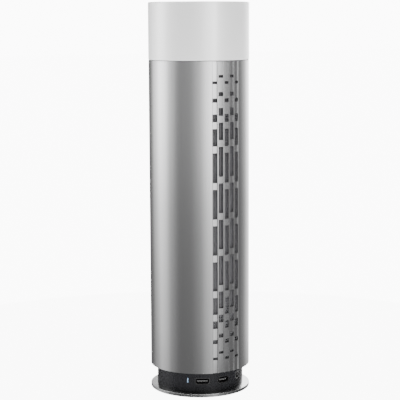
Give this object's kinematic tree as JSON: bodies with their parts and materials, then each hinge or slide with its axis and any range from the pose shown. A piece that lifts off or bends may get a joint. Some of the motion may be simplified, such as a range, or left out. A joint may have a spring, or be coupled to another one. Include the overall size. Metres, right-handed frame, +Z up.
{
  "type": "tower fan",
  "caption": "Compact cylindrical tower fan: fluted aluminium tube with slotted air grilles, closed white cap, black socket plinth on a metal foot disc, swivelling on its base.",
  "frame": {"origin": "centre of the round foot, on the surface it stands on", "axes": "+Z up along the tower's axis; +Y to the back, where the sockets and the air inlet are; -Y to the air outlet; +X to the left seen from the front"},
  "size_m": [0.098, 0.098, 0.38],
  "materials": {
    "sleeve_aluminium": "satin anodised, drawn along its length",
    "foot_metal": "turned and polished",
    "cap_white": "smooth satin white plastic",
    "button_white": "satin white plastic",
    "plinth_black": "black moulded plastic with a low sheen",
    "frame_black": "black glass-filled plastic",
    "foot_rubber": "matt black rubber",
    "steel_zinc": "zinc-plated steel",
    "motor_steel": "pressed steel can",
    "bearing_bronze": "sintered bronze",
    "gear_plastic": "natural acetal",
    "impeller_grey": "dark grey moulded plastic",
    "screen_dark": "dark grey painted perforated sheet",
    "board_green": "solder-resist green board",
    "socket_metal": "dark nickel-plated shell",
    "socket_black": "black insulating plastic",
    "light_lens": "frosted clear lens with a cool white glow",
    "lead_grey": "grey insulated lead"
  },
  "bodies": {
    "base": {"foot_disc": "foot_metal", "foot_ring": "foot_rubber", "ballast_plate": "steel_zinc", "plinth_housing": "plinth_black", "plinth_screws": "steel_zinc", "socket_board": "board_green", "board_spacers": "gear_plastic", "wide_socket_shell": "socket_metal", "wide_socket_tongue": "socket_black", "oval_socket_shell": "socket_metal", "oval_socket_tongue": "socket_black", "power_jack_body": "socket_black", "power_jack_pin": "socket_metal", "status_light_lens": "light_lens", "status_lamp": "gear_plastic", "swivel_bush": "gear_plastic", "swivel_washer": "gear_plastic", "swivel_motor": "motor_steel", "swivel_motor_screws": "steel_zinc", "riser_plug": "gear_plastic", "riser_lead": "lead_grey"},
    "tower": {"swivel_gear": "gear_plastic", "hub_retainer": "steel_zinc", "turntable": "frame_black", "outer_sleeve": "sleeve_aluminium", "tie_rods": "steel_zinc", "tie_rod_nuts": "steel_zinc", "lower_spacers": "frame_black", "long_spacers": "frame_black", "upper_spacers": "frame_black", "lower_plate": "frame_black", "upper_plate": "frame_black", "motor_housing": "motor_steel", "motor_grommets": "foot_rubber", "motor_screws": "steel_zinc", "upper_bearing": "bearing_bronze", "bearing_boot": "foot_rubber", "scroll_wall": "frame_black", "stabiliser_wall": "frame_black", "inlet_screen": "screen_dark", "outlet_screen": "screen_dark", "cap_collar": "frame_black", "top_cap": "cap_white", "cap_screws": "steel_zinc", "control_board": "board_green", "board_screws": "steel_zinc", "button_switch": "socket_black", "button_spring": "steel_zinc", "tower_lead": "lead_grey", "lead_plug": "gear_plastic"},
    "swivel_drive": {"swivel_pinion": "gear_plastic", "swivel_motor_shaft": "steel_zinc"},
    "impeller": {"impeller_hub": "impeller_grey", "impeller_stub": "impeller_grey", "motor_shaft": "steel_zinc", "impeller_section_1": "impeller_grey", "impeller_section_2": "impeller_grey", "impeller_section_3": "impeller_grey", "impeller_section_4": "impeller_grey"},
    "button": {"power_button": "button_white"}
  },
  "joints": [
    {"name": "tower_swivel", "type": "hinge", "parent": "base", "child": "tower", "pos_m": [0, 0, 0.0278], "axis": [0, 0, 1], "range_deg": [-35, 35]},
    {"name": "pinion_spin", "type": "hinge", "parent": "base", "child": "swivel_drive", "pos_m": [0, -0.029, 0.0222], "axis": [0, 0, 1], "range_deg": [-112, 112]},
    {"name": "impeller_spin", "type": "hinge", "parent": "tower", "child": "impeller", "pos_m": [0, 0, 0.187], "axis": [0, 0, 1], "continuous": true},
    {"name": "button_press", "type": "slide", "parent": "tower", "child": "button", "axis": [0, 0, -1], "range_m": [0, 0.0008], "stiffness_N_per_m": 1200, "springref_m": -0.0006, "deforming": ["button_spring"]}
  ],
  "couplings": [
    {"joint": "pinion_spin", "follows": "tower_swivel", "ratio": -3.1429}
  ]
}
